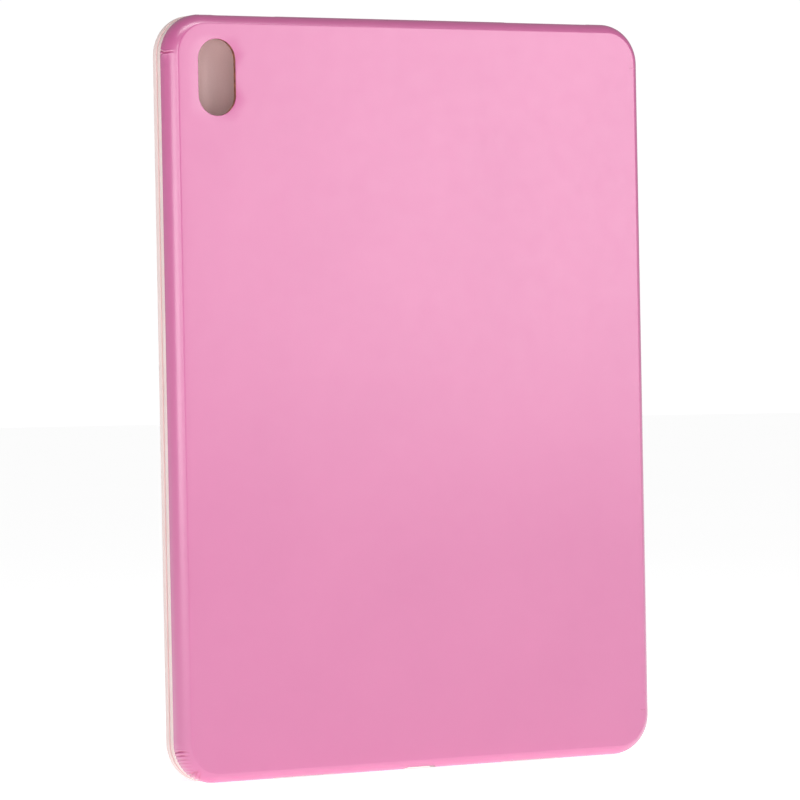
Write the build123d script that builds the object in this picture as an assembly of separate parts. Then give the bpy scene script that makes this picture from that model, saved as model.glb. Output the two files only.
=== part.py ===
from build123d import *
import os
from math import pi

# Folio case for a tablet of the 11-inch class.
#
# A soft tray holds the tablet. Leather covers the tray's back and sides, bends over a spine and goes
# on as the skin of a front cover made of three stiff panels. The closed case stands upright on its
# bottom edge: +Z is up, +Y points to the front cover and +X to the spine. The origin is the middle
# of the bottom edge. All sizes are in millimetres.
#
# A "depth" is measured from the leather on the back, at 0, towards the front cover, at case_t.
# An "outline" is a sketch whose own x and y are the case's X and Z.
#
# The tray is one moulding and its leather one sheet. Each is written as three nodes of touching
# solids that are nearly convex, so that their hulls keep the bay, the window and the slots open.

os.makedirs("parts", exist_ok=True)

# ---------------------------------------------------------------- driving dimensions

# The tablet that the tray is made for
tablet_w = 178.5
tablet_h = 247.6
tablet_t = 6.1
tablet_corner_r = 11.85
tablet_play = 0.1

# Sheets
leather_t = 0.7
board_t = 1.3
spine_board_t = 0.4
lining_t = 0.35

# Tray
wall_t = 0.95
back_wall_t = 1.2
lip_t = 1.3
lip_overhang = 1.2
ridge_r = 4.0
leather_wrap = 6.9
cut_edge_gap = 0.05

# Front cover and spine
cover_gap = 0.25
spine_gap = 0.1
spine_end_margin = 15.0
panel_1_w = 65.0
panel_2_w = 59.0
fold_gap_w = 3.0
hinge_gap = 0.3

# Camera window, an upright pill near the top corner on the free side
window_w = 13.75
window_h = 25.1
window_from_side = 17.3
window_from_top = 20.7

# Openings in the bottom and top walls
port_l = 13.0
port_w = 5.4
key_slot_w = 2.4
power_slot_l = 24.0
power_slot_from_side = 30.0
volume_slot_l = 34.0
volume_slot_from_side = 36.0
speaker_slot_l = 24.0
speaker_slot_w = 3.0
speaker_slot_offset = 44.0

# Magnets and the plates that they grip
magnet_w = 6.0
magnet_l = 22.0
magnet_t = 1.2
magnet_from_edge = 6.5
magnet_heights = (0.18, 0.5, 0.82)
sleep_magnet_r = 4.0
sleep_magnet_height = 0.34
plate_w = 8.0
plate_l = 26.0
plate_t = 0.4
plate_from_fold = 57.0
pocket_play = 0.1

# ---------------------------------------------------------------- derived dimensions

spine_t = lining_t + spine_board_t + leather_t
side_t = leather_t + wall_t
spine_side_t = spine_t + spine_gap + wall_t
bay_w = tablet_w + 2 * tablet_play
bay_h = tablet_h + 2 * tablet_play
bay_corner_r = tablet_corner_r + tablet_play
body_w = side_t + bay_w + spine_side_t
body_h = bay_h + 2 * side_t
body_corner_r = bay_corner_r + side_t

bay_back = leather_t + back_wall_t
bay_front = bay_back + tablet_t + tablet_play
rim_front = bay_front + lip_t
cover_back = rim_front + cover_gap
case_t = cover_back + lining_t + board_t + leather_t
board_back = cover_back + lining_t
board_front = board_back + board_t

spine_x = body_w / 2
body_left = -spine_x
bay_x = body_left + side_t + bay_w / 2
tray_side_x = spine_x - spine_t - spine_gap
window_x = body_left + window_from_side
window_z = body_h - window_from_top
wall_slot_depth = (bay_back + bay_front) / 2
spine_bottom = spine_end_margin
spine_top = body_h - spine_end_margin

# The cover bends round the front corner of the spine with its whole thickness as the radius
cover_bend_r = case_t - cover_back
spine_back = ridge_r + hinge_gap
panel_1_right = spine_x - cover_bend_r - hinge_gap

# Folds lie in the leather's outer face. Each fold line's X:
fold_1_x = spine_x - panel_1_w
fold_2_x = fold_1_x - panel_2_w
half_gap = fold_gap_w / 2

# Hinge line between back and spine, placed so that the leather keeps its length when it lies flat
spine_hinge_inset = ridge_r * (1 - pi / 4)


# ---------------------------------------------------------------- helpers


def y_at(depth):
    """The case's Y at a depth."""
    return depth - case_t / 2


def layer(outline, depth_from, depth_to):
    """A plate with the given outline between two depths."""
    start = Plane.XZ.offset(-y_at(depth_from))
    return extrude(start * outline, amount=depth_from - depth_to)


def block(x_from, x_to, depth_from, depth_to, z_from, z_to):
    """A box from its limits."""
    size = (x_to - x_from, depth_to - depth_from, z_to - z_from)
    centre = ((x_from + x_to) / 2, y_at((depth_from + depth_to) / 2), (z_from + z_to) / 2)
    return Pos(*centre) * Box(*size)


def body_outline(inset=0):
    """The rounded outline of the tray and cover, or the same moved inwards."""
    shape = RectangleRounded(body_w - 2 * inset, body_h - 2 * inset, body_corner_r - inset)
    return Pos(0, body_h / 2) * shape


def bay_outline(inset=0):
    """The rounded outline of the tablet's bay, or the same moved inwards."""
    shape = RectangleRounded(bay_w - 2 * inset, bay_h - 2 * inset, bay_corner_r - inset)
    return Pos(bay_x, body_h / 2) * shape


def rounded_back(inset, depth_from, depth_to):
    """A solid with the body's outline whose edge at the back is rounded like the ridge."""
    solid = layer(body_outline(inset), depth_from, depth_to)
    back_edges = solid.faces().sort_by(Axis.Y)[0].edges()
    return fillet(back_edges, ridge_r - inset)


def along_spine(section):
    """A section drawn in X and Y, extruded over the spine's length."""
    return extrude(Plane.XY.offset(spine_bottom) * section, amount=spine_top - spine_bottom)


def bent_sheet(outer_r, thickness, towards_front):
    """Section of a sheet bent a quarter turn round a corner of the spine side."""
    sign = 1 if towards_front else -1
    ring = Circle(outer_r) - Circle(outer_r - thickness)
    quarter = Pos(outer_r / 2, sign * outer_r / 2) * Rectangle(outer_r, outer_r)
    return ring & quarter


def save(name, shape):
    """Write one node's STEP file."""
    export_step(shape, f"parts/{name}.step")


# ---------------------------------------------------------------- openings through the tray and its leather


def camera_window():
    """Cutter for the pill-shaped camera window."""
    pill = SlotOverall(window_h, window_w, rotation=90)
    return layer(Pos(window_x, window_z) * pill, -1, bay_back + 1)


# Slots through the bottom and top walls, from left to right: (X, length, width)
bottom_slots = [
    (bay_x - speaker_slot_offset, speaker_slot_l, speaker_slot_w),
    (bay_x, port_l, port_w),
    (bay_x + speaker_slot_offset, speaker_slot_l, speaker_slot_w),
]
top_slots = [
    (body_left + power_slot_from_side, power_slot_l, key_slot_w),
    (spine_x - volume_slot_from_side, volume_slot_l, key_slot_w),
]


def slot_cutters():
    """Cutters for the slots, at the middle of the tablet's thickness."""
    cutters = []
    for z_from, slots in ((-1, bottom_slots), (body_h - side_t - 1, top_slots)):
        for x, length, width in slots:
            section = Pos(x, y_at(wall_slot_depth)) * SlotOverall(length, width)
            cutters.append(extrude(Plane.XY.offset(z_from) * section, amount=side_t + 2))
    return cutters


# ---------------------------------------------------------------- dividing plates and walls


def column(x_from, x_to, z_from, z_to, depth_from=-1.0, depth_to=case_t):
    """A region between limits in X and Z that holds the whole depth of the case, or part of it."""
    return block(x_from, x_to, depth_from, depth_to, z_from, z_to)


def divide(shape, regions):
    """The solids of a shape that lie in each region."""
    return Compound(children=[solid for region in regions for solid in (shape & region).solids()])


def regions_round_window():
    """Regions that divide a plate beside the camera window, and below and above it."""
    left, right = window_x - window_w / 2, window_x + window_w / 2
    regions = [column(body_left - 1, left, -1, body_h + 1), column(right, spine_x + 1, -1, body_h + 1)]
    for x_from, x_to in ((left, window_x), (window_x, right)):
        regions.append(column(x_from, x_to, -1, window_z))
        regions.append(column(x_from, x_to, window_z, body_h + 1))
    return regions


def corner_regions():
    """Two regions for each corner, to either side of its diagonal."""
    reach = body_corner_r
    triangles = [[(0, 0), (-reach, 0), (-reach, -reach)], [(0, 0), (0, -reach), (-reach, -reach)]]
    regions = []
    for x, side_x in ((body_left + reach, 1), (spine_x - reach, -1)):
        for z, side_z in ((reach, 1), (body_h - reach, -1)):
            for triangle in triangles:
                points = [(x + side_x * dx, z + side_z * dz) for dx, dz in triangle]
                regions.append(layer(make_face(Polyline(*points, close=True)), -1, case_t))
    return regions


def wall_regions():
    """Regions for each wall between the corners, divided along the port."""
    low, high = body_corner_r, body_h - body_corner_r
    left, right = body_left + body_corner_r, spine_x - body_corner_r
    regions = [column(body_left - 1, left, low, high), column(right, spine_x + 1, low, high)]
    for z_from, z_to, slots in ((-1, low, bottom_slots), (high, body_h + 1, top_slots)):
        x_from = left
        for x, length, width in slots:
            if width > speaker_slot_w:
                straight = (length - width) / 2
                regions.append(column(x_from, x - straight, z_from, z_to))
                x_from = x + straight
                regions.append(column(x - straight, x_from, z_from, z_to, -1, wall_slot_depth))
                regions.append(column(x - straight, x_from, z_from, z_to, wall_slot_depth, case_t))
        regions.append(column(x_from, right, z_from, z_to))
    return regions


def whole_corner_regions():
    """One region for each corner, and one for each side between them."""
    low, high = body_corner_r, body_h - body_corner_r
    left, right = body_left + body_corner_r, spine_x - body_corner_r
    columns = [(body_left - 1, left), (left, right), (right, spine_x + 1)]
    rows = [(-1, low), (low, high), (high, body_h + 1)]
    return [column(*x_limits, *z_limits) for x_limits in columns for z_limits in rows]


# ---------------------------------------------------------------- shell: tray and back leather


def make_tray():
    """The soft tray: its floor, its walls, with a bare rim below the leather, and the lip that
    reaches over the tablet's edge."""
    tray = rounded_back(leather_t, leather_t, rim_front)
    tray = tray + layer(body_outline(), leather_wrap + cut_edge_gap, rim_front)
    spine_recess = block(tray_side_x, spine_x + 1, 0, rim_front + 1, spine_bottom - 0.5, spine_top + 0.5)
    inner = layer(bay_outline(), -1, rim_front + 1)
    walls = tray - spine_recess - inner
    for cutter in slot_cutters():
        walls = walls - cutter
    floor = (tray & layer(bay_outline(), -1, bay_back)) - camera_window()
    lip = layer(bay_outline() - bay_outline(lip_overhang), bay_front, rim_front)
    return {
        "tray_floor": divide(floor, regions_round_window()),
        "tray_walls": divide(walls, wall_regions() + corner_regions()),
        "tray_lip": divide(lip, whole_corner_regions()),
    }


def make_shell_leather():
    """Leather over the tray: the flat back, the rounded ridge and the sides. The last two are open
    where the leather goes on over the spine."""
    back = layer(body_outline(ridge_r), 0, leather_t) - camera_window()
    skin = rounded_back(0, 0, leather_wrap) - rounded_back(leather_t, leather_t, leather_wrap + 1)
    spine_side = block(spine_x - ridge_r, spine_x + 1, -1, case_t, spine_bottom, spine_top)
    edges = skin - spine_side - layer(body_outline(ridge_r), -1, case_t)
    for cutter in slot_cutters():
        edges = edges - cutter
    above_ridge = column(body_left - 1, spine_x + 1, -1, body_h + 1, -1, ridge_r)
    return {
        "back_leather": divide(back, regions_round_window()),
        "ridge_leather": edges & above_ridge,
        "side_leather": divide(edges - above_ridge, wall_regions() + corner_regions()),
    }


def make_back_hinge_leather():
    """Leather that bends over the ridge between the back and the spine."""
    return along_spine(Pos(spine_x - ridge_r, y_at(ridge_r)) * bent_sheet(ridge_r, leather_t, False))


# ---------------------------------------------------------------- spine


def spine_sheet(outer_x, thickness):
    """A flat sheet of the spine, between the back hinge and the cover hinge."""
    return block(outer_x - thickness, outer_x, spine_back, cover_back, spine_bottom, spine_top)


def cover_hinge_sheet(outer_r, thickness):
    """A sheet that bends round the front corner, from the spine to the cover."""
    place = Pos(spine_x - cover_bend_r, y_at(cover_back))
    return along_spine(place * bent_sheet(outer_r, thickness, True))


# ---------------------------------------------------------------- front cover


def panel_outline(x_from, x_to):
    """The part of the cover's outline between two X values."""
    span = Pos((x_from + x_to) / 2, body_h / 2) * Rectangle(x_to - x_from, body_h + 2)
    return body_outline() & span


def cover_strip(x_centre, depth_from, depth_to):
    """A flexible strip over a fold, where the cover has no board."""
    return layer(panel_outline(x_centre - half_gap, x_centre + half_gap), depth_from, depth_to)


def magnet_places():
    """The centres of the closure magnets in X and Z."""
    return [(body_left + magnet_from_edge, share * body_h) for share in magnet_heights]


def plate_places():
    """The centres of the plates that the magnets grip when the cover is rolled into a stand."""
    return [(fold_1_x + plate_from_fold, share * body_h) for share in magnet_heights]


def bars(places, width, length, depth_from, depth_to):
    """Equal flat bars, upright, at the given places."""
    return [layer(Pos(x, z) * Rectangle(width, length), depth_from, depth_to) for x, z in places]


def sleep_disc(radius, depth_from, depth_to):
    """Disc at the place of the sleep magnet."""
    place = Pos(body_left + magnet_from_edge, sleep_magnet_height * body_h)
    return layer(place * Circle(radius), depth_from, depth_to)


def make_board_1(outline):
    """Board of panel 1, with shallow pockets for the plates."""
    board = layer(outline, board_back, board_front)
    pocket_back = board_front - plate_t - pocket_play
    grow = 2 * pocket_play
    for pocket in bars(plate_places(), plate_w + grow, plate_l + grow, pocket_back, board_front + 1):
        board = board - pocket
    return board


def make_board_2(outline):
    """Board of panel 2, which is plain."""
    return layer(outline, board_back, board_front)


def make_board_3(outline):
    """Board of panel 3, with pockets for the closure magnets and the sleep magnet."""
    board = layer(outline, board_back, board_front)
    pocket_front = board_back + magnet_t
    grow = 2 * pocket_play
    for pocket in bars(magnet_places(), magnet_w + grow, magnet_l + grow, board_back - 1, pocket_front):
        board = board - pocket
    return board - sleep_disc(sleep_magnet_r + pocket_play, board_back - 1, pocket_front)


# ---------------------------------------------------------------- write every node

for node, shape in {**make_tray(), **make_shell_leather()}.items():
    save(node, shape)
save("back_hinge_leather", make_back_hinge_leather())

save("spine_leather", spine_sheet(spine_x, leather_t))
save("spine_board", spine_sheet(spine_x - leather_t, spine_board_t))
save("spine_lining", spine_sheet(spine_x - leather_t - spine_board_t, lining_t))
save("cover_hinge_leather", cover_hinge_sheet(cover_bend_r, leather_t))
save("cover_hinge_lining", cover_hinge_sheet(cover_bend_r - leather_t, lining_t))

panels = [
    ("panel_1", make_board_1, fold_1_x + half_gap, panel_1_right),
    ("panel_2", make_board_2, fold_2_x + half_gap, fold_1_x - half_gap),
    ("panel_3", make_board_3, body_left - 1, fold_2_x - half_gap),
]
for panel, make_board, x_from, x_to in panels:
    outline = panel_outline(x_from, x_to)
    save(f"{panel}_leather", layer(outline, board_front, case_t))
    save(f"{panel}_board", make_board(outline))
    save(f"{panel}_lining", layer(outline, cover_back, board_back))

for number, fold_x in ((1, fold_1_x), (2, fold_2_x)):
    save(f"fold_{number}_leather", cover_strip(fold_x, board_front, case_t))
    save(f"fold_{number}_lining", cover_strip(fold_x, board_front - lining_t, board_front))

magnet_bars = bars(magnet_places(), magnet_w, magnet_l, board_back, board_back + magnet_t)
save("closure_magnets", Compound(children=magnet_bars))
save("sleep_magnet", sleep_disc(sleep_magnet_r, board_back, board_back + magnet_t))
plate_bars = bars(plate_places(), plate_w, plate_l, board_front - plate_t, board_front)
save("stand_plates", Compound(children=plate_bars))

# ---------------------------------------------------------------- figures for the record

print(f"case {spine_x - body_left:.2f} x {case_t:.2f} x {body_h:.2f} mm")
print(f"body from X {body_left:.3f} to {spine_x:.3f}, bay centre at X {bay_x:.3f}")
print(f"bay depth {bay_back:.2f} to {bay_front:.2f}, rim to {rim_front:.2f}, cover from {cover_back:.2f}")
print(f"spine hinge at X {spine_x - spine_hinge_inset:.3f}, Y {y_at(spine_hinge_inset):.3f}")
print(f"cover hinge at X {spine_x:.3f}, Y {y_at(case_t):.3f}")
print(f"folds at X {fold_1_x:.3f} and {fold_2_x:.3f}, Y {y_at(case_t):.3f}")
print(f"window centre X {window_x:.3f}, Z {window_z:.3f}")
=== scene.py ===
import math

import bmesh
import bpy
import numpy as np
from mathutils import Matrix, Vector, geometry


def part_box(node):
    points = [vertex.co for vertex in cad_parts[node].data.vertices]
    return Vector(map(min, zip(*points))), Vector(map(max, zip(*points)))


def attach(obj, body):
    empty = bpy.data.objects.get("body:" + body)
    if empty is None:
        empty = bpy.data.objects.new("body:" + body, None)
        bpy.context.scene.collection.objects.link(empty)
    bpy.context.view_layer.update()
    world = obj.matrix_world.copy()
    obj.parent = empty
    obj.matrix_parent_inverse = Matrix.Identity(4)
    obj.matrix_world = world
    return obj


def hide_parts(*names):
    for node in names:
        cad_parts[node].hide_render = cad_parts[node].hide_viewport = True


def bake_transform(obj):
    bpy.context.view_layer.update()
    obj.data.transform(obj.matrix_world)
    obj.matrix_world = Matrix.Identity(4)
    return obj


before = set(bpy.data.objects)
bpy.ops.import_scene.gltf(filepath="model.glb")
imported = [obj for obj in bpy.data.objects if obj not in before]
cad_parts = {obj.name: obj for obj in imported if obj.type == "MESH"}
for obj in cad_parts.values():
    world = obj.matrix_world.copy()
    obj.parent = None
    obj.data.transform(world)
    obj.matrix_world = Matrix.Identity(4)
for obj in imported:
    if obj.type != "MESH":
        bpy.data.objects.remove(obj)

# A closed folio tablet case: leather over a soft tray, a spine and a three-panel cover.
#
# Lengths are millimetres in the case's own frame (+Z up, -Y the leather back, +X the spine) and
# become metres in new_piece(). A "depth" is measured from the back face towards the front cover.
# An "inset" is measured inwards from the body's rounded outline.

MM = 0.001
TINY = 1e-6
SHARP_ANGLE = math.radians(35)
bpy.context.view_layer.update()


def limits(node):
    """A CAD node's lowest and highest corners in millimetres."""
    low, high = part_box(node)
    return low / MM, high / MM


# ---------------------------------------------------------------- sizes, from the frame

side_low, side_high = limits("side_leather")
bay_low, bay_high = limits("tray_lip")
LEFT, RIGHT = side_low.x, side_high.x
BOTTOM, TOP = side_low.z, side_high.z
BACK = limits("back_leather")[0].y
CUT_EDGE = side_high.y
BAY_X = (bay_low.x + bay_high.x) / 2
BAY_FRONT, RIM_FRONT = bay_low.y, bay_high.y
SIDE_WALL = bay_low.x - LEFT
SPINE_WALL = RIGHT - bay_high.x
COVER_BACK = limits("panel_2_lining")[0].y
BOARD_BACK, BOARD_FRONT = limits("panel_2_board")[0].y, limits("panel_2_board")[1].y
FRONT = limits("panel_2_leather")[1].y
SPINE_X = limits("spine_leather")[1].x
SPINE_START = limits("spine_leather")[0].y
SPINE_LOW, SPINE_HIGH = limits("spine_leather")[0].z, limits("spine_leather")[1].z
LEATHER = FRONT - BOARD_FRONT
LINING = BOARD_BACK - COVER_BACK
SPINE_LINING_X = limits("spine_lining")[0].x
FOLDS = [(limits(f"fold_{n}_leather")[0].x, limits(f"fold_{n}_leather")[1].x) for n in (1, 2)]
PANEL_1_RIGHT = limits("panel_1_leather")[1].x

# Sizes that the frame's boxes don't give
CORNER_R = 13.6
LIP_OVERHANG = 1.2
TRAY_BACK = 1.2
SPINE_GAP = 0.1
WINDOW_X, WINDOW_Z = LEFT + 17.3, TOP - 20.7
WINDOW_W, WINDOW_H = 13.75, 25.1

# Slots through the bottom and top walls: the port, two for keys and two for the speakers, each as
# its middle X, its length, its width and whether it is in the top wall
SLOTS = [
    (BAY_X, 13.0, 5.4, False),
    (LEFT + 30.0, 24.0, 2.4, True),
    (RIGHT - 36.0, 34.0, 2.4, True),
    (BAY_X - 44.0, 24.0, 3.0, False),
    (BAY_X + 44.0, 24.0, 3.0, False),
]

# The ridge: a tight shoulder beside the flat back, then a broad rounding down to the side wall
SHOULDER_R = 1.1
SHOULDER_TURN = math.radians(30)
ROUND_R = 5.9
PLATE_INSET = 6.5

# Beside the spine the back leather ends at this inset, and the hinge's leather begins
HINGE_START_INSET = 5.2


# ---------------------------------------------------------------- material helpers


class Shader:
    """A material's node tree with its Principled BSDF, and short ways to add nodes to it."""

    def __init__(self, name, **sockets):
        self.material = bpy.data.materials.new(name)
        self.material.use_nodes = True
        self.tree = self.material.node_tree
        self.bsdf = self.tree.nodes["Principled BSDF"]
        for socket, value in sockets.items():
            self.bsdf.inputs[socket.replace("_", " ")].default_value = value
        self.coordinates = self.tree.nodes.new("ShaderNodeTexCoord").outputs["Object"]

    def link(self, output, node_input):
        self.tree.links.new(output, node_input)

    def stretched(self, x, y, z):
        """Object coordinates, scaled differently along each axis."""
        node = self.tree.nodes.new("ShaderNodeMapping")
        node.inputs["Scale"].default_value = (x, y, z)
        self.link(self.coordinates, node.inputs["Vector"])
        return node.outputs["Vector"]

    def noise(self, size_mm, detail=3.0, roughness=0.5, vector=None):
        """Noise whose features are about size_mm across."""
        node = self.tree.nodes.new("ShaderNodeTexNoise")
        node.inputs["Scale"].default_value = 1 / (size_mm * MM)
        node.inputs["Detail"].default_value = detail
        node.inputs["Roughness"].default_value = roughness
        self.link(vector or self.coordinates, node.inputs["Vector"])
        return node.outputs["Fac"]

    def cells(self, size_mm):
        """Distance inside rounded cells about size_mm across."""
        node = self.tree.nodes.new("ShaderNodeTexVoronoi")
        node.feature = "SMOOTH_F1"
        node.inputs["Scale"].default_value = 1 / (size_mm * MM)
        self.link(self.coordinates, node.inputs["Vector"])
        return node.outputs["Distance"]

    def ranged(self, value, low, high, from_low=0.3, from_high=0.7):
        """A value mapped to another range."""
        node = self.tree.nodes.new("ShaderNodeMapRange")
        node.inputs["From Min"].default_value = from_low
        node.inputs["From Max"].default_value = from_high
        node.inputs["To Min"].default_value = low
        node.inputs["To Max"].default_value = high
        self.link(value, node.inputs["Value"])
        return node.outputs["Result"]

    def mixed(self, factor, colour_a, colour_b):
        """A mix of two colours, each a tuple or another node's output."""
        node = self.tree.nodes.new("ShaderNodeMix")
        node.data_type = "RGBA"
        self.link(factor, node.inputs["Factor"])
        for socket, colour in (("A", colour_a), ("B", colour_b)):
            target = [i for i in node.inputs if i.name == socket and i.type == "RGBA"][0]
            if isinstance(colour, tuple):
                target.default_value = (*colour, 1)
            else:
                self.link(colour, target)
        return [o for o in node.outputs if o.type == "RGBA"][0]

    def summed(self, value_a, value_b, share_b):
        """value_a + share_b * value_b."""
        node = self.tree.nodes.new("ShaderNodeMath")
        node.operation = "MULTIPLY_ADD"
        node.inputs[1].default_value = share_b
        self.link(value_b, node.inputs[0])
        self.link(value_a, node.inputs[2])
        return node.outputs["Value"]

    def attribute(self, name):
        """A value stored on the mesh's points."""
        node = self.tree.nodes.new("ShaderNodeAttribute")
        node.attribute_name = name
        return node.outputs["Fac"]

    def bump(self, height, depth_mm, strength=1.0):
        node = self.tree.nodes.new("ShaderNodeBump")
        node.inputs["Strength"].default_value = strength
        node.inputs["Distance"].default_value = depth_mm * MM
        self.link(height, node.inputs["Height"])
        self.link(node.outputs["Normal"], self.bsdf.inputs["Normal"])

    def colour(self, output):
        self.link(output, self.bsdf.inputs["Base Color"])

    def rough(self, output):
        self.link(output, self.bsdf.inputs["Roughness"])


def make_leather():
    """Smooth coated leather: a fine pebble and cloudy variation, with painted shade that darkens it towards
    dark magenta in its creases and along its cut edge.
    """
    s = Shader("pink_leather", Specular_IOR_Level=1.0, Coat_Weight=0.9, Coat_IOR=1.8, Coat_Roughness=0.27)
    clouds = s.noise(45, detail=4)
    body = s.mixed(s.ranged(clouds, 0, 1), (0.572, 0.094, 0.294), (0.598, 0.106, 0.310))
    # painted shade: the point attribute darkens the pink to dark magenta in the creases and just before the
    # cut edge
    s.colour(s.mixed(s.attribute("painted_shade"), body, (0.50, 0.018, 0.16)))
    s.rough(s.ranged(s.noise(6, detail=5), 0.34, 0.43))
    pebble = s.cells(0.42)
    fine = s.noise(0.16, detail=4, roughness=0.6)
    s.bump(s.summed(pebble, fine, 0.5), 0.02, strength=0.5)
    return s.material


def make_backing():
    """The pale knitted backing that shows on the leather's cut edges and inner side."""
    s = Shader("leather_backing", Roughness=0.85)
    fibres = s.noise(0.3, detail=6, roughness=0.7)
    s.colour(s.mixed(s.ranged(fibres, 0, 1), (0.78, 0.62, 0.60), (0.86, 0.71, 0.69)))
    s.rough(s.ranged(fibres, 0.75, 0.95))
    s.bump(fibres, 0.08, strength=0.6)
    return s.material


def make_burnt_edge():
    """The narrow scorched edge that a hot die leaves round the camera window."""
    s = Shader("window_edge", Roughness=0.6)
    patches = s.noise(1.6, detail=5, roughness=0.65)
    s.colour(s.mixed(s.ranged(patches, 0, 1, 0.35, 0.65), (0.13, 0.035, 0.022), (0.42, 0.16, 0.09)))
    s.rough(s.ranged(patches, 0.45, 0.75))
    s.bump(s.noise(0.4, detail=5), 0.1, strength=0.7)
    return s.material


def make_tray_plastic():
    """Soft milky thermoplastic with a fine satin surface."""
    s = Shader("tray_plastic", IOR=1.5, Subsurface_Weight=0.25, Subsurface_Scale=0.001)
    s.bsdf.inputs["Subsurface Radius"].default_value = (1.0, 0.55, 0.5)
    haze = s.noise(14, detail=4)
    s.colour(s.mixed(s.ranged(haze, 0, 1), (0.80, 0.64, 0.62), (0.86, 0.71, 0.69)))
    s.rough(s.ranged(s.noise(2.5, detail=5), 0.32, 0.46))
    s.bump(s.noise(0.22, detail=4, roughness=0.6), 0.015, strength=0.5)
    return s.material


def make_lining():
    """Dusty rose microfibre: a short nap brushed unevenly, with a soft sheen."""
    s = Shader("rose_lining", Sheen_Weight=0.35, Sheen_Roughness=0.45, Specular_IOR_Level=0.2)
    brushed = s.noise(9, detail=5, roughness=0.6, vector=s.stretched(1.0, 1.0, 0.35))
    nap = s.noise(0.32, detail=6, roughness=0.75)
    tone = s.mixed(s.ranged(brushed, 0, 1), (0.90, 0.62, 0.61), (0.94, 0.68, 0.67))
    s.colour(s.mixed(s.ranged(nap, 0, 0.3), tone, (0.78, 0.49, 0.49)))
    s.rough(s.ranged(nap, 0.85, 1.0))
    s.bump(nap, 0.07, strength=0.6)
    return s.material


def make_board():
    """Pale stiff board with short fibres and thin plies."""
    s = Shader("cover_board", Roughness=0.8)
    fibres = s.noise(0.5, detail=6, roughness=0.7, vector=s.stretched(1.0, 4.0, 1.0))
    s.colour(s.mixed(s.ranged(fibres, 0, 1), (0.80, 0.65, 0.63), (0.88, 0.73, 0.71)))
    s.rough(s.ranged(fibres, 0.7, 0.9))
    s.bump(fibres, 0.05, strength=0.5)
    return s.material


def make_metal(name, dark, light, low_rough, high_rough, brushed):
    """A plated or brushed metal."""
    s = Shader(name, Metallic=1.0)
    vector = s.stretched(1.0, 1.0, 0.03) if brushed else None
    marks = s.noise(0.4, detail=5, roughness=0.6, vector=vector)
    s.colour(s.mixed(s.ranged(marks, 0, 1), dark, light))
    s.rough(s.ranged(marks, low_rough, high_rough))
    s.bump(marks, 0.01, strength=0.4)
    return s.material


leather = make_leather()
backing = make_backing()
window_edge = make_burnt_edge()
tray_plastic = make_tray_plastic()
lining = make_lining()
board = make_board()
magnet_metal = make_metal("magnet_plating", (0.50, 0.50, 0.52), (0.66, 0.66, 0.67), 0.18, 0.3, False)
plate_metal = make_metal("plate_steel", (0.36, 0.36, 0.38), (0.52, 0.52, 0.53), 0.3, 0.48, True)


# ---------------------------------------------------------------- mesh helpers


def new_piece(name, points, faces, materials, face_slots):
    """A mesh object from points in millimetres, with outward normals and smooth shading."""
    mesh = bpy.data.meshes.new(name)
    mesh.from_pydata((np.asarray(points, float) * MM).tolist(), [], [list(map(int, f)) for f in faces])
    for material in materials:
        mesh.materials.append(material)
    mesh.polygons.foreach_set("material_index", list(map(int, face_slots)))
    build = bmesh.new()
    build.from_mesh(mesh)
    bmesh.ops.recalc_face_normals(build, faces=build.faces)
    build.to_mesh(mesh)
    build.free()
    mesh.shade_smooth()
    mesh.set_sharp_from_angle(angle=SHARP_ANGLE)
    piece = bpy.data.objects.new(name, mesh)
    bpy.context.scene.collection.objects.link(piece)
    return piece


def arc(start, end, steps):
    """Angles from start to end, both included."""
    return np.linspace(start, end, steps + 1)


def spaced(start, end, step, stops=()):
    """Values from start to end, about a step apart, that include the stops between them."""
    marks = [start] + sorted((s for s in stops if min(start, end) < s < max(start, end)),
                             reverse=end < start) + [end]
    values = [start]
    for a, b in zip(marks, marks[1:]):
        count = max(1, round(abs(b - a) / step))
        values += np.linspace(a, b, count + 1)[1:].tolist()
    return values


def body_outline(straight_step=2.4, corner_steps=72, stops=()):
    """The body's outline as points, outward normals, and for each point its corner and how far
    round that corner it is in millimetres. It runs up the left side and on clockwise, seen from
    the back. Straight points count from the nearer corner's end, outside 0 to the corner's length."""
    r = CORNER_R
    centres = [(LEFT + r, TOP - r), (RIGHT - r, TOP - r), (RIGHT - r, BOTTOM + r), (LEFT + r, BOTTOM + r)]
    length = r * math.pi / 2
    points, normals, corner_of, along = [], [], [], []
    for corner, (cx, cz) in enumerate(centres):
        # the straight side that leads to this corner
        px, pz = centres[corner - 1]
        first = math.pi - corner * math.pi / 2
        nx, nz = round(math.cos(first)), round(math.sin(first))
        run_from, run_to = (pz, cz) if nx else (px, cx)
        for value in spaced(run_from, run_to, straight_step, stops)[:-1]:
            anchor = (cx + r * nx, value) if nx else (value, cz + r * nz)
            points.append(anchor)
            normals.append((nx, nz))
            nearer_this = abs(value - run_to) <= abs(value - run_from)
            corner_of.append(corner if nearer_this else (corner - 1) % 4)
            along.append(-abs(value - run_to) if nearer_this else length + abs(value - run_from))
        for angle in arc(first, first - math.pi / 2, corner_steps)[:-1]:
            normal = (math.cos(angle), math.sin(angle))
            points.append((cx + r * normal[0], cz + r * normal[1]))
            normals.append(normal)
            corner_of.append(corner)
            along.append((first - angle) * r)
    return np.array(points), np.array(normals), np.array(corner_of), np.array(along)


def pill_outline(grow=0.0, steps=28):
    """The camera window's outline, made larger by grow."""
    r = WINDOW_W / 2
    half = WINDOW_H / 2 - r
    points = []
    for centre_z, first in ((WINDOW_Z + half, 0.0), (WINDOW_Z - half, math.pi)):
        for angle in arc(first, first + math.pi, steps):
            x = WINDOW_X + (r + grow) * math.cos(angle)
            points.append((x, centre_z + (r + grow) * math.sin(angle)))
    return np.array(points)


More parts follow.
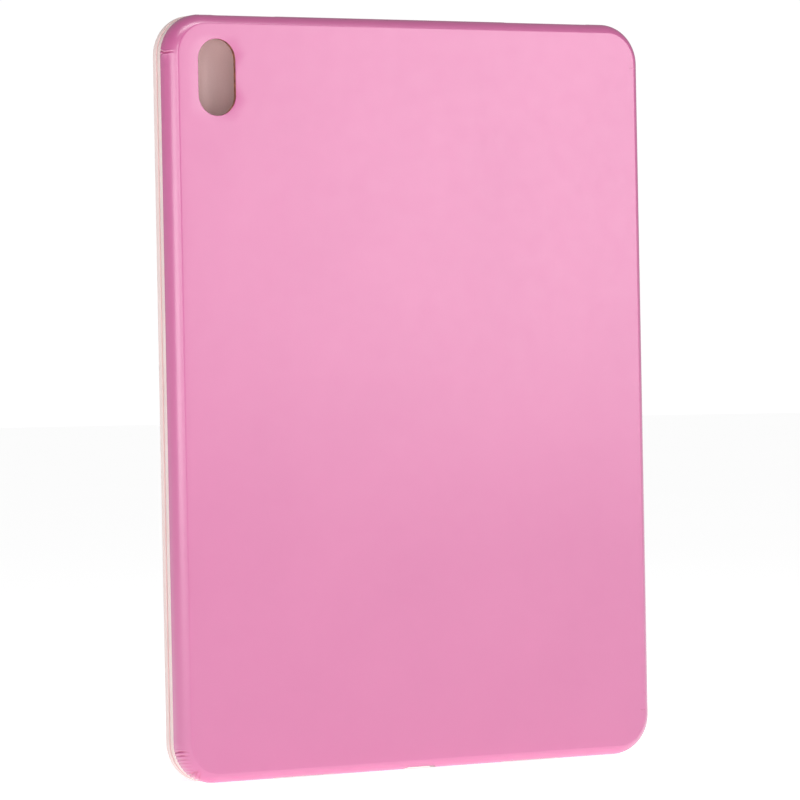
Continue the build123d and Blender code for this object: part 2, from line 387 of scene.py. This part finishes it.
def ridge_profile(under=0.0, shoulder_steps=7, round_steps=12):
    """The ridge's section from the flat back to the side wall, as (inset, depth, turn), where turn
    is how far the surface has turned from facing back. under moves it inside the outer surface."""
    outer = ROUND_R * (1 - math.sin(SHOULDER_TURN))
    centre_inset = outer + SHOULDER_R * math.sin(SHOULDER_TURN)
    rows = []
    for turn in arc(0, SHOULDER_TURN, shoulder_steps):
        r = SHOULDER_R - under
        rows.append((centre_inset - r * math.sin(turn), SHOULDER_R - r * math.cos(turn), turn))
    round_depth = SHOULDER_R * (1 - math.cos(SHOULDER_TURN)) + ROUND_R * math.cos(SHOULDER_TURN)
    for turn in arc(SHOULDER_TURN, math.pi / 2, round_steps)[1:]:
        r = ROUND_R - under
        rows.append((ROUND_R - r * math.sin(turn), round_depth - r * math.cos(turn), turn))
    return rows


def inside(points, loop):
    """Which of the points lie inside a closed loop."""
    x, z = points[:, 0], points[:, 1]
    found = np.zeros(len(points), bool)
    for (xa, za), (xb, zb) in zip(loop, np.roll(loop, -1, axis=0)):
        if za != zb:
            crosses = (za > z) != (zb > z)
            found ^= crosses & (x < (xb - xa) * (z - za) / (zb - za) + xa)
    return found


def fill(outer, holes, spacing):
    """Points and triangles that fill a loop round holes, with even points between."""
    low, high = outer.min(0), outer.max(0)
    # rows of a nearly even triangular grid
    rows = np.arange(low[1] + spacing / 2, high[1], spacing * 0.866)
    grid = np.array([(x, z) for n, z in enumerate(rows)
                     for x in np.arange(low[0] + spacing * (0.5 + 0.5 * (n % 2)), high[0], spacing)])
    loops = [outer] + list(holes)
    keep = inside(grid, outer)
    for hole in holes:
        keep &= ~inside(grid, hole)
    for loop in loops:
        gap = np.hypot(*(grid[:, None] - loop[None]).transpose(2, 0, 1)).min(1)
        keep &= gap > spacing * 0.55
    points = np.vstack(loops + [grid[keep]])
    edges, first = [], 0
    for loop in loops:
        count = len(loop)
        edges += [(first + n, first + (n + 1) % count) for n in range(count)]
        first += count
    result = geometry.delaunay_2d_cdt([Vector(p) for p in points], edges, [], 1, 1e-7)
    found, triangles = np.array([tuple(p) for p in result[0]]), np.array(result[2])
    middle = found[triangles].mean(1)
    for hole in holes:
        triangles = triangles[~inside(middle, hole)]
        middle = found[triangles].mean(1)
    triangles = triangles[inside(middle, outer)]
    return points, found, triangles


class Solid:
    """Points and faces of one closed piece, gathered ring by ring."""

    def __init__(self):
        self.points, self.faces, self.slots = [], [], []
        self.values = []

    def add(self, points, value=0.0):
        """Add points; return their numbers."""
        first = len(self.points)
        self.points += [tuple(p) for p in points]
        self.values += list(np.broadcast_to(value, len(points)))
        return np.arange(first, first + len(points))

    def join(self, ring_a, ring_b, slot=0, closed=True, skip=None):
        """Quads between two rings of equal length."""
        count = len(ring_a)
        for n in range(count if closed else count - 1):
            m = (n + 1) % count
            if skip is None or not (skip[n] and skip[m]):
                self.faces.append((ring_a[n], ring_a[m], ring_b[m], ring_b[n]))
                self.slots.append(slot)

    def plate(self, outer_ring, hole_rings, y, spacing, slot=0, lift=None):
        """A flat fill between rings that are already there. lift gives the Y of its inner points."""
        spots = np.array(self.points)
        loops = [spots[list(r)][:, [0, 2]] for r in [outer_ring] + hole_rings]
        wanted, found, triangles = fill(loops[0], loops[1:], spacing)
        known = np.concatenate([outer_ring] + hole_rings)
        numbers = np.full(len(found), -1)
        for n, place in enumerate(found):
            nearest = np.hypot(*(wanted[: len(known)] - place).T)
            best = nearest.argmin()
            if nearest[best] < 1e-4:
                numbers[n] = known[best]
        loose = np.flatnonzero(numbers < 0)
        heights = np.full(len(loose), y) if lift is None else y + lift(found[loose])
        numbers[loose] = self.add(np.column_stack([found[loose, 0], heights, found[loose, 1]]))
        for triangle in triangles:
            self.faces.append(tuple(numbers[triangle]))
            self.slots.append(slot)

    def piece(self, name, materials):
        """The finished object. Its points carry the values given to add() as a point attribute, which the
        leather uses as painted shade in its creases and along its cut edge.
        """
        made = new_piece(name, self.points, self.faces, materials, self.slots)
        attribute = made.data.attributes.new("painted_shade", "FLOAT", "POINT")
        attribute.data.foreach_set("value", np.array(self.values, np.float32))
        return made


# ---------------------------------------------------------------- back leather

TOP_LEFT, BOTTOM_LEFT = 0, 3

# Creases where the leather is gathered: the corner, how far round it the crease meets the cut edge,
# how far it leans and how far up it reaches, its half width and its depth, and its bow
CREASES = [
    (TOP_LEFT, 1.9, -0.4, 7.6, 0.26, 0.24, -0.9),
    (TOP_LEFT, 0.3, 1.2, 6.2, 0.20, 0.16, 0.0),
    (TOP_LEFT, 19.5, 0.4, 3.4, 0.22, 0.12, 0.0),
    (TOP_LEFT, 21.0, 0.5, 2.8, 0.24, 0.14, 0.0),
    (BOTTOM_LEFT, 18.2, -0.1, 8.4, 0.26, 0.26, 0.75),
    (BOTTOM_LEFT, 16.9, -0.3, 8.2, 0.24, 0.22, 0.75),
    (BOTTOM_LEFT, 15.6, -0.6, 8.0, 0.22, 0.18, 0.7),
    (BOTTOM_LEFT, 14.4, -0.8, 7.6, 0.22, 0.15, 0.7),
    (BOTTOM_LEFT, 13.2, -1.0, 7.2, 0.22, 0.14, 0.6),
    (BOTTOM_LEFT, 12.0, -1.2, 6.8, 0.22, 0.14, 0.5),
    (BOTTOM_LEFT, 10.2, -1.4, 8.0, 0.24, 0.20, 1.1),
    (BOTTOM_LEFT, 8.6, 1.6, 7.0, 0.34, 0.46, 0.2),
    (BOTTOM_LEFT, 7.2, 3.0, 8.2, 0.40, 0.26, -0.4),
    (BOTTOM_LEFT, 5.4, 3.6, 8.2, 0.44, 0.24, -0.4),
    (BOTTOM_LEFT, 3.4, -1.6, 6.0, 0.35, 0.14, 0.5),
]


def small_pleats():
    """Short pleats along the cut edge of every corner, uneven but the same each time."""
    pleats = []
    for corner in range(4):
        for n in range(15):
            wobble = math.sin(7.3 * n + 2.1 * corner)
            place = 1.6 + n * 1.32 + 0.35 * wobble
            reach = 1.5 + 0.8 * math.sin(3.7 * n + corner)
            pleats.append((corner, place, 0.25 * wobble, reach, 0.2, 0.055 + 0.03 * abs(wobble), 0.1))
    return pleats


def crease_field(corner_of, along, up):
    """How deep the leather dips, and how much painted shade darkens its colour along each crease, at points
    up mm from the cut edge.
    """
    dip, painted_crease_shade = np.zeros(len(along)), np.zeros(len(along))
    for corner, place, lean, reach, width, depth, bow in CREASES + small_pleats():
        share = np.clip(up / reach, 0, 1)
        line = place + lean * share + bow * np.sin(math.pi * share) * (1 - 0.3 * share)
        fade = np.clip((1 - share) * 3, 0, 1) * (corner_of == corner)
        away = (along - line) / width
        dip += 0.7 * depth * fade * (np.exp(-away ** 2) - 0.45 * np.exp(-((np.abs(away) - 2.2) ** 2)))
        # painted shade: darker colour along the crease's line, where shade falls in it
        painted_crease_shade += depth * 4.5 * fade * np.exp(-(away / 0.9) ** 2)
    return dip, np.clip(painted_crease_shade, 0, 0.85)


def in_spine(points, normals):
    """Which outline points lie on the spine's side, where the leather goes on over the spine."""
    return (normals[:, 0] > 0.999) & (points[:, 1] > SPINE_LOW - 0.01) & (points[:, 1] < SPINE_HIGH + 0.01)


def back_waves(points):
    """Slight waves of the leather over the tray, none at the plate's edge."""
    x, z = points[:, 0], points[:, 1]
    edge = np.minimum.reduce([x - LEFT, RIGHT - x, z - BOTTOM, TOP - z]) - PLATE_INSET
    window = np.hypot(x - WINDOW_X, (z - WINDOW_Z) / 1.6) - WINDOW_W
    quiet = np.clip(edge / 25, 0, 1) * np.clip(window / 15, 0, 1)
    waves = 0.10 * np.sin(x / 31 + 0.6) * np.sin(z / 43 + 1.1) + 0.05 * np.sin(x / 17 - z / 29)
    return waves * quiet


def make_back_skin():
    """The back leather: flat back, ridge, side walls with gathered corners, and its cut edges."""
    points, normals, corner_of, along = body_outline(corner_steps=132, stops=(SPINE_LOW, SPINE_HIGH))
    on_spine = in_spine(points, normals)
    wall_depth = CUT_EDGE - BACK
    solid = Solid()

    def ring(inset, depth, turn, inner=False):
        anchor = points - inset * normals
        spots = np.column_stack([anchor[:, 0], np.full(len(points), BACK + depth), anchor[:, 1]])
        up = wall_depth - depth + max(0.0, inset) * 0.8
        dip, painted_crease_shade = crease_field(corner_of, along, np.full(len(points), up))
        sideways, backwards = math.sin(turn), np.full(len(points), -math.cos(turn))
        outward = np.column_stack([normals[:, 0] * sideways, backwards, normals[:, 1] * sideways])
        if not inner:
            spots = spots - outward * dip[:, None]
        # painted shade: a thin dark line on the leather just before its cut edge, where the edge's shadow
        # falls
        painted_edge_shade = 0.6 * math.exp(-((wall_depth - depth) / 0.22) ** 2)
        return solid.add(spots, np.clip(painted_crease_shade + painted_edge_shade, 0, 1))

    outer_rows = [(PLATE_INSET, 0.0, 0.0), (HINGE_START_INSET, 0.0, 0.0)] + ridge_profile()
    last_depth = outer_rows[-1][1]
    outer_rows += [(0.0, depth, math.pi / 2) for depth in arc(last_depth, wall_depth - 0.25, 5)[1:]]
    # the cut edge is slightly rounded
    outer_rows += [(0.04, wall_depth - 0.1, math.pi / 2), (0.16, wall_depth, math.pi / 2)]
    inner_rows = [(LEATHER, wall_depth, math.pi / 2)]
    inner_rows += [row for row in reversed(ridge_profile(under=LEATHER)) if row[1] < wall_depth]
    inner_rows += [(HINGE_START_INSET, LEATHER, 0.0), (PLATE_INSET, LEATHER, 0.0)]

    outer_rings = [ring(*row) for row in outer_rows]
    inner_rings = [ring(*row, inner=True) for row in inner_rows]
    rings, rows = outer_rings + inner_rings, outer_rows + inner_rows
    for n, (ring_a, ring_b) in enumerate(zip(rings, rings[1:])):
        beyond = min(rows[n][0], rows[n + 1][0]) < HINGE_START_INSET - TINY
        slot = 1 if n >= len(outer_rings) - 1 else 0
        solid.join(ring_a, ring_b, slot, skip=on_spine if beyond else None)
    close_spine_gap(solid, outer_rings, inner_rings, outer_rows, inner_rows, on_spine)

    hole_out, hole_in = window_wall(solid, BACK, BACK + LEATHER, 0.22, (0, 2))
    solid.plate(outer_rings[0], [hole_out], BACK, 4.5, 0, back_waves)
    solid.plate(inner_rings[-1], [hole_in], BACK + LEATHER, 9.0, 1)
    return solid.piece("back_skin", [leather, backing, window_edge])


def close_spine_gap(solid, outer_rings, inner_rings, outer_rows, inner_rows, on_spine):
    """Cut faces where the back leather stops beside the spine: one long and one at each end."""
    columns = np.flatnonzero(on_spine)
    flat_out = [r for r, row in zip(outer_rings, outer_rows) if row[0] >= HINGE_START_INSET - TINY][-1]
    flat_in = [r for r, row in zip(inner_rings, inner_rows) if row[0] >= HINGE_START_INSET - TINY][0]
    solid.join(flat_out[columns], flat_in[columns], 1, closed=False)
    past_out = [r for r, row in zip(outer_rings, outer_rows) if row[0] <= HINGE_START_INSET + TINY]
    past_in = [r for r, row in zip(inner_rings, inner_rows) if row[0] <= HINGE_START_INSET + TINY]
    for column in (columns[0], columns[-1]):
        outline = [r[column] for r in past_out] + [r[column] for r in past_in]
        solid.faces.append(tuple(outline))
        solid.slots.append(1)


def window_wall(solid, y_outer, y_inner, rounding, slots, grow=0.0):
    """The camera window's wall between two plates, rounded towards y_outer. Returns both rings."""
    sign = 1 if y_inner > y_outer else -1
    rings = []
    for angle in arc(0, math.pi / 2, 4):
        loop = pill_outline(grow + rounding * (1 - math.sin(angle)))
        y = y_outer + sign * rounding * (1 - math.cos(angle))
        rings.append(solid.add(np.column_stack([loop[:, 0], np.full(len(loop), y), loop[:, 1]])))
    loop = pill_outline(grow)
    rings.append(solid.add(np.column_stack([loop[:, 0], np.full(len(loop), y_inner), loop[:, 1]])))
    for n, (ring_a, ring_b) in enumerate(zip(rings, rings[1:])):
        solid.join(ring_a, ring_b, slots[0] if n < 3 else slots[1])
    return rings[0], rings[-1]


# ---------------------------------------------------------------- tray


def make_tray():
    """The soft tray: outer shell under the leather, bare rim, lip and bay, with the window."""
    points, normals, _, _ = body_outline(straight_step=4.0, corner_steps=30, stops=(SPINE_LOW, SPINE_HIGH))
    on_spine = in_spine(points, normals)
    spine_inset = np.where(on_spine, SPINE_X - SPINE_LINING_X + SPINE_GAP, 0.0)
    bay_shift = np.where(points[:, 0] > 0, SPINE_WALL - SIDE_WALL, 0.0)
    rim_start = CUT_EDGE - BACK + 0.04
    rim_end = RIM_FRONT - BACK
    bay_back = LEATHER + TRAY_BACK
    bay_front = BAY_FRONT - BACK
    solid = Solid()

    def ring(inset, depth, in_bay=False):
        if in_bay:
            anchor = points - inset * normals - np.column_stack([bay_shift, np.zeros(len(points))])
        else:
            anchor = points - np.maximum(inset, spine_inset)[:, None] * normals
        return solid.add(np.column_stack([anchor[:, 0], np.full(len(points), BACK + depth), anchor[:, 1]]))

    def turned(inset, depth, r, steps, side):
        """Rows round an edge: side 1 goes from the outer wall to the front, -1 from there inwards."""
        rows = [(r * (1 - math.cos(a)), r * (1 - math.sin(a))) for a in arc(0, math.pi / 2, steps)]
        if side < 0:
            rows = [(-across, down) for across, down in reversed(rows)]
        return [(inset + across, depth - down) for across, down in rows]

    under = LEATHER + 0.03
    rows = [(PLATE_INSET, under)]
    rows += [(inset, depth) for inset, depth, _ in ridge_profile(under) if depth < rim_start]
    # the bare rim steps out from under the leather's cut edge
    rows += [(under, rim_start), (0.42, rim_start), (0.2, rim_start + 0.08), (0.12, rim_start + 0.3)]
    rows += turned(0.12, rim_end, 0.5, 4, 1)
    lip = SIDE_WALL + LIP_OVERHANG
    bay_rows = turned(lip, rim_end, 0.4, 4, -1)
    bay_rows += [(lip, bay_front + 0.25), (lip - 0.25, bay_front), (SIDE_WALL, bay_front)]
    bay_rows += [(SIDE_WALL + 0.8 * (1 - math.cos(a)), bay_back + 0.8 * (1 - math.sin(a)))
                 for a in arc(0, math.pi / 2, 5)]
    bay_rows += [(PLATE_INSET, bay_back)]
    rings = [ring(*row) for row in rows] + [ring(*row, in_bay=True) for row in bay_rows]
    for ring_a, ring_b in zip(rings, rings[1:]):
        solid.join(ring_a, ring_b)
    hole_in, hole_out = window_wall(solid, BACK + bay_back, BACK + under, 0.3, (0, 1), grow=0.12)
    solid.plate(rings[0], [hole_out], BACK + under, 9.0)
    solid.plate(rings[-1], [hole_in], BACK + bay_back, 9.0)
    return solid.piece("soft_tray", [tray_plastic, window_edge])


def slot_cutter(x, length, width, at_top):
    """A rounded bar that cuts a slot through the bottom or top wall."""
    middle = BACK + (LEATHER + TRAY_BACK + BAY_FRONT - BACK) / 2
    r = width / 2
    loop = []
    for centre, first in ((x + length / 2 - r, -math.pi / 2), (x - length / 2 + r, math.pi / 2)):
        for angle in arc(first, first + math.pi, 16):
            loop.append((centre + r * math.cos(angle), middle + r * math.sin(angle)))
    past_wall = 0.9
    if at_top:
        low, high = TOP - SIDE_WALL - past_wall, TOP + 1
    else:
        low, high = BOTTOM - 1, BOTTOM + SIDE_WALL + past_wall
    solid = Solid()
    rings = [solid.add([(px, py, z) for px, py in loop]) for z in (low, high)]
    solid.join(rings[0], rings[1])
    solid.faces += [tuple(rings[0]), tuple(rings[1])]
    solid.slots += [0, 0]
    return solid.piece("slot_cutter", [backing])


def cut_slots(piece):
    """Cut the port, key and speaker slots through a piece, where the CAD has them."""
    for slot in SLOTS:
        cutter = slot_cutter(*slot)
        cut = piece.modifiers.new("slot", "BOOLEAN")
        cut.object = cutter
        cut.operation = "DIFFERENCE"
        cut.solver = "EXACT"
        cut.material_mode = "TRANSFER"
        bpy.context.view_layer.objects.active = piece
        bpy.ops.object.modifier_apply(modifier=cut.name)
        bpy.data.objects.remove(cutter)
    piece.data.set_sharp_from_angle(angle=SHARP_ANGLE)
    return piece


# ---------------------------------------------------------------- belts: sheets with one section


def belt(name, path, thickness, side, z_low, z_high, materials):
    """A sheet whose section follows a path of (x, y) and is the same from z_low to z_high. side is
    1 if its thickness is to the left of the path's direction, and -1 if to the right."""
    path = np.array(path, float)
    along = np.gradient(path, axis=0)
    along /= np.hypot(*along.T)[:, None]
    across = side * np.column_stack([-along[:, 1], along[:, 0]])
    ease = 0.12
    heights = spaced(z_low + ease, z_high - ease, 4.0)
    sections = [(z_low, ease)] + [(z, 0.0) for z in heights] + [(z_high, ease)]
    solid = Solid()
    faces_out, faces_in = [], []
    for z, shrink in sections:
        outer, inner = path + across * shrink, path + across * (thickness - shrink * 0.5)
        faces_out.append(solid.add(np.column_stack([outer, np.full(len(path), z)])))
        faces_in.append(solid.add(np.column_stack([inner, np.full(len(path), z)])))
    for rows, slot in ((faces_out, 0), (faces_in, 1)):
        for a, b in zip(rows, rows[1:]):
            solid.join(a, b, slot, closed=False)
    for end in (0, -1):
        solid.join(faces_out[end], faces_in[end], 1, closed=False)
        out_edge, in_edge = [r[end] for r in faces_out], [r[end] for r in faces_in]
        solid.join(np.array(out_edge), np.array(in_edge), 1, closed=False)
    return solid.piece(name, materials)


def make_back_hinge():
    """Leather over the ridge beside the spine."""
    path = [(x, BACK) for x in spaced(RIGHT - HINGE_START_INSET, SPINE_X - ridge_profile()[0][0], 0.7)[:-1]]
    path += [(SPINE_X - inset, BACK + depth) for inset, depth, _ in ridge_profile()]
    path += [(SPINE_X, y) for y in spaced(path[-1][1], path[-1][1] + 0.6, 0.3)[1:]]
    piece = belt("back_hinge_skin", path, LEATHER, 1, SPINE_LOW, SPINE_HIGH, [leather, backing])
    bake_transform(piece)
    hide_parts("back_hinge_leather")
    return path[-1][1]


def make_spine(skin_start):
    """The spine's leather and lining. Its board is the CAD node."""
    skin = belt("spine_skin", [(SPINE_X, y) for y in spaced(skin_start, COVER_BACK, 1.5)], LEATHER, 1,
                SPINE_LOW, SPINE_HIGH, [leather, backing])
    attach(skin, "spine")
    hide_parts("spine_leather")
    face = belt("spine_lining_face", [(SPINE_LINING_X, y) for y in spaced(SPINE_START, COVER_BACK, 1.5)],
                LINING, -1, SPINE_LOW, SPINE_HIGH, [lining, backing])
    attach(face, "spine")
    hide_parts("spine_lining")


def quarter_path(centre_x, centre_y, radius, steps=10):
    """A quarter turn from facing the spine's side to facing front."""
    turns = arc(0, math.pi / 2, steps)
    return [(centre_x + radius * math.cos(a), centre_y + radius * math.sin(a)) for a in turns]


def make_cover_hinge():
    """Leather and lining round the front corner of the spine."""
    bend_r = FRONT - COVER_BACK
    centre_x = SPINE_X - bend_r
    outer = quarter_path(centre_x, COVER_BACK, bend_r) + [(PANEL_1_RIGHT, FRONT)]
    skin = belt("cover_hinge_skin", outer, LEATHER, 1, SPINE_LOW, SPINE_HIGH, [leather, backing])
    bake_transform(skin)
    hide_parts("cover_hinge_leather")
    inner_r = bend_r - LEATHER - LINING
    inner = [(SPINE_LINING_X, COVER_BACK)]
    inner += quarter_path(centre_x, COVER_BACK, inner_r, 6)[1:-1]
    inner += [(PANEL_1_RIGHT, COVER_BACK + 0.35), (PANEL_1_RIGHT - 0.3, COVER_BACK)]
    face = belt("cover_hinge_lining_face", inner, LINING, -1, SPINE_LOW, SPINE_HIGH, [lining, backing])
    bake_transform(face)
    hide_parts("cover_hinge_lining")


def make_fold(number):
    """The flexible strip between two panels: a shallow groove in front and a channel behind."""
    left, right = FOLDS[number - 1]
    middle, half = (left + right) / 2, (right - left) / 2
    shares = arc(1, -1, 20)
    groove = 0.28
    front = [(middle + half * s, FRONT - groove * (1 - s * s) ** 2) for s in shares]
    skin = belt(f"fold_{number}_skin", front, LEATHER, 1, BOTTOM, TOP, [leather, backing])
    channel = BOARD_FRONT - groove - LINING - COVER_BACK
    back = [(middle + half * s, COVER_BACK + channel * (1 - abs(s) ** 5)) for s in shares]
    face = belt(f"fold_{number}_lining_face", back, LINING, -1, BOTTOM, TOP, [lining, backing])
    for piece, node, slot in ((skin, "leather", "leather"), (face, "lining", "lining")):
        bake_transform(piece)
        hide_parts(f"fold_{number}_{node}")


# ---------------------------------------------------------------- cover panels


def panel_loop(x_from, x_to):
    """The outline of a stretch of the cover, clockwise seen from the back. An x_from left of LEFT
    keeps the free side with its rounded corners."""
    outline, _, _, _ = body_outline(straight_step=6.0, corner_steps=24)
    # points close to a cut are left out, so that no sliver lies beside it
    kept = [tuple(p) for p in outline if x_from + 1.0 < p[0] < x_to - 0.4]
    top = [p for p in kept if p[1] > TOP / 2]
    low = [p for p in kept if p[1] <= TOP / 2]
    past_corner = max(0.0, x_to - (RIGHT - CORNER_R))
    edge = CORNER_R - math.sqrt(CORNER_R ** 2 - past_corner ** 2)
    right_side = [(x_to, z) for z in spaced(TOP - edge, BOTTOM + edge, 6.0)]
    if x_from > LEFT:
        left_side = [(x_from, z) for z in spaced(BOTTOM, TOP, 6.0)]
        return np.array(left_side + top + right_side + low)
    left_side = [p for p in low if p[0] < LEFT + 0.001]
    return np.array(left_side + top + right_side + low[len(left_side):])


def slab(name, loop, y_face, y_back, rounding, materials, wave):
    """A closed plate with its show face at y_face, eased edges and bare cut sides. wave is how far
    the face rises in low waves."""
    count = len(loop)
    ahead, behind = np.roll(loop, -1, axis=0), np.roll(loop, 1, axis=0)
    along = ahead - behind
    along /= np.hypot(*along.T)[:, None]
    outward = np.column_stack([-along[:, 1], along[:, 0]])
    area = 0.5 * np.sum(loop[:, 0] * ahead[:, 1] - ahead[:, 0] * loop[:, 1])
    if area > 0:
        outward = -outward
    sign = 1 if y_back > y_face else -1
    solid = Solid()

    def ring(inset, y):
        spots = loop - outward * inset
        return solid.add(np.column_stack([spots[:, 0], np.full(count, y), spots[:, 1]]))

    margin = 0.5
    rows = [(rounding + margin, y_face)]
    for angle in arc(0, math.pi / 2, 4):
        rows.append((rounding * (1 - math.sin(angle)), y_face + sign * rounding * (1 - math.cos(angle))))
    rows += [(0.0, y_back), (margin, y_back)]
    rings = [ring(*row) for row in rows]
    for n, (a, b) in enumerate(zip(rings, rings[1:])):
        solid.join(a, b, 0 if n < 4 else 1)

    def lift(points):
        edge = np.minimum.reduce([points[:, 0] - loop[:, 0].min(), loop[:, 0].max() - points[:, 0],
                                  points[:, 1] - loop[:, 1].min(), loop[:, 1].max() - points[:, 1]])
        waves = np.sin(points[:, 0] / 9 + 0.4) * np.sin(points[:, 1] / 37 + 0.9)
        return sign * wave * (0.5 + 0.5 * waves) * np.clip((edge - 3) / 12, 0, 1)

    solid.plate(rings[0], [], y_face, 5.0, 0, lift)
    solid.plate(rings[-1], [], y_back, 12.0, 1)
    return solid.piece(name, materials)


def make_panel(number, x_from, x_to):
    """One cover panel's leather and lining. Its board is the CAD node."""
    loop = panel_loop(x_from, x_to)
    skin = slab(f"panel_{number}_skin", loop, FRONT, BOARD_FRONT, 0.14, [leather, backing], wave=0.06)
    face = slab(f"panel_{number}_lining_face", loop, COVER_BACK, BOARD_BACK, 0.08, [lining, backing],
                wave=0.04)
    for piece, node, slot in ((skin, "leather", "leather"), (face, "lining", "lining")):
        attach(piece, f"panel_{number}")
        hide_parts(f"panel_{number}_{node}")


def paint_cad_nodes():
    """Materials for the CAD nodes that stay: boards, magnets and plates."""
    finishes = {"board": board, "magnet": magnet_metal, "plates": plate_metal}
    for name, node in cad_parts.items():
        for word, material in finishes.items():
            if word in name:
                node.data.materials.clear()
                node.data.materials.append(material)


# ---------------------------------------------------------------- stage, light and camera

CAMERA_AZIMUTH = -30.3
CAMERA_ELEVATION = 0.49
CAMERA_ROLL = -1.09
CAMERA_DISTANCE = 1488.5
CAMERA_LENS = 200.7
AIM = (-7.45, BACK, 123.75)
ROOM_LIGHT = 0.26
ROOM_SEEN = 1.02
FLOOR_GLOW = 0.72
FLOOR_RADIUS = 9000
FLOOR_Z = -0.05


def direction(azimuth, elevation):
    """Unit vector towards a viewer. Azimuth 0 looks at the back, and -90 at the free side."""
    a, e = math.radians(azimuth), math.radians(elevation)
    return Vector((math.sin(a) * math.cos(e), -math.cos(a) * math.cos(e), math.sin(e)))


def make_camera():
    """A long lens at the height of the case's middle, turned about 30 degrees to the free side."""
    data = bpy.data.cameras.new("camera")
    data.lens = CAMERA_LENS
    data.clip_end = 100
    camera = bpy.data.objects.new("camera", data)
    towards = direction(CAMERA_AZIMUTH, CAMERA_ELEVATION)
    roll = Matrix.Rotation(math.radians(CAMERA_ROLL), 3, "Z")
    turned = towards.to_track_quat("Z", "Y").to_matrix() @ roll
    place = (Vector(AIM) + towards * CAMERA_DISTANCE) * MM
    camera.matrix_world = Matrix.Translation(place) @ turned.to_4x4()
    bpy.context.scene.collection.objects.link(camera)
    bpy.context.scene.camera = camera


def area_light(name, azimuth, elevation, distance, width, height, watts):
    """A soft white rectangular light that faces the middle of the case. Lengths are metres."""
    data = bpy.data.lights.new(name, "AREA")
    data.shape = "RECTANGLE"
    data.size = width
    data.size_y = height
    data.energy = watts
    light = bpy.data.objects.new(name, data)
    towards = direction(azimuth, elevation)
    place = Vector((0, 0, TOP / 2 * MM)) + towards * distance
    light.matrix_world = Matrix.Translation(place) @ towards.to_track_quat("Z", "Y").to_matrix().to_4x4()
    bpy.context.scene.collection.objects.link(light)


def make_floor():
    """A wide, plain, nearly white floor."""
    s = Shader("floor", Roughness=0.9, Specular_IOR_Level=0.1, Emission_Strength=FLOOR_GLOW)
    s.bsdf.inputs["Emission Color"].default_value = (1, 1, 1, 1)
    s.colour(s.mixed(s.ranged(s.noise(400), 0, 1), (0.96, 0.96, 0.96), (0.98, 0.98, 0.98)))
    solid = Solid()
    turns = arc(0, 2 * math.pi, 64)[:-1]
    rim = [(FLOOR_RADIUS * math.cos(a), FLOOR_RADIUS * math.sin(a), FLOOR_Z) for a in turns]
    solid.faces.append(tuple(solid.add(rim)))
    solid.slots.append(0)
    floor = solid.piece("floor", [s.material])


def make_room():
    """A white room that is as bright as the floor to the eye, and dimmer as a light."""
    world = bpy.data.worlds.new("white_room")
    world.use_nodes = True
    tree = world.node_tree
    seen = tree.nodes.new("ShaderNodeLightPath").outputs["Is Camera Ray"]
    strength = tree.nodes.new("ShaderNodeMapRange")
    strength.inputs["To Min"].default_value = ROOM_LIGHT
    strength.inputs["To Max"].default_value = ROOM_SEEN
    tree.links.new(seen, strength.inputs["Value"])
    tree.links.new(strength.outputs["Result"], tree.nodes["Background"].inputs["Strength"])
    tree.nodes["Background"].inputs["Color"].default_value = (1, 1, 1, 1)
    bpy.context.scene.world = world


def make_light():
    """Soft lights: one from the free side, one high over the ridge, and two that the gloss shows."""
    # name, azimuth and elevation, distance, width and height, watts
    area_light("side", -66, 6, 0.6, 0.3, 0.25, 0.6)
    area_light("key", -38, 14, 0.9, 0.06, 0.5, 0.8)
    area_light("sheen", 36, 16, 0.75, 0.46, 0.5, 1.5)
    area_light("top", -10, 66, 0.8, 0.8, 0.12, 1.8)
    bpy.context.scene.view_settings.view_transform = "Standard"


# ---------------------------------------------------------------- put it together

make_camera()
make_room()
make_light()
make_floor()

back_skin = cut_slots(make_back_skin())
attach(back_skin, "shell")
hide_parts("back_leather", "ridge_leather", "side_leather")

tray = cut_slots(make_tray())
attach(tray, "shell")
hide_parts("tray_floor", "tray_walls", "tray_lip")

make_spine(make_back_hinge())
make_cover_hinge()
make_panel(1, FOLDS[0][1], PANEL_1_RIGHT)
make_panel(2, FOLDS[1][1], FOLDS[0][0])
make_panel(3, LEFT - 2.0, FOLDS[1][0])
for fold in (1, 2):
    make_fold(fold)
paint_cad_nodes()
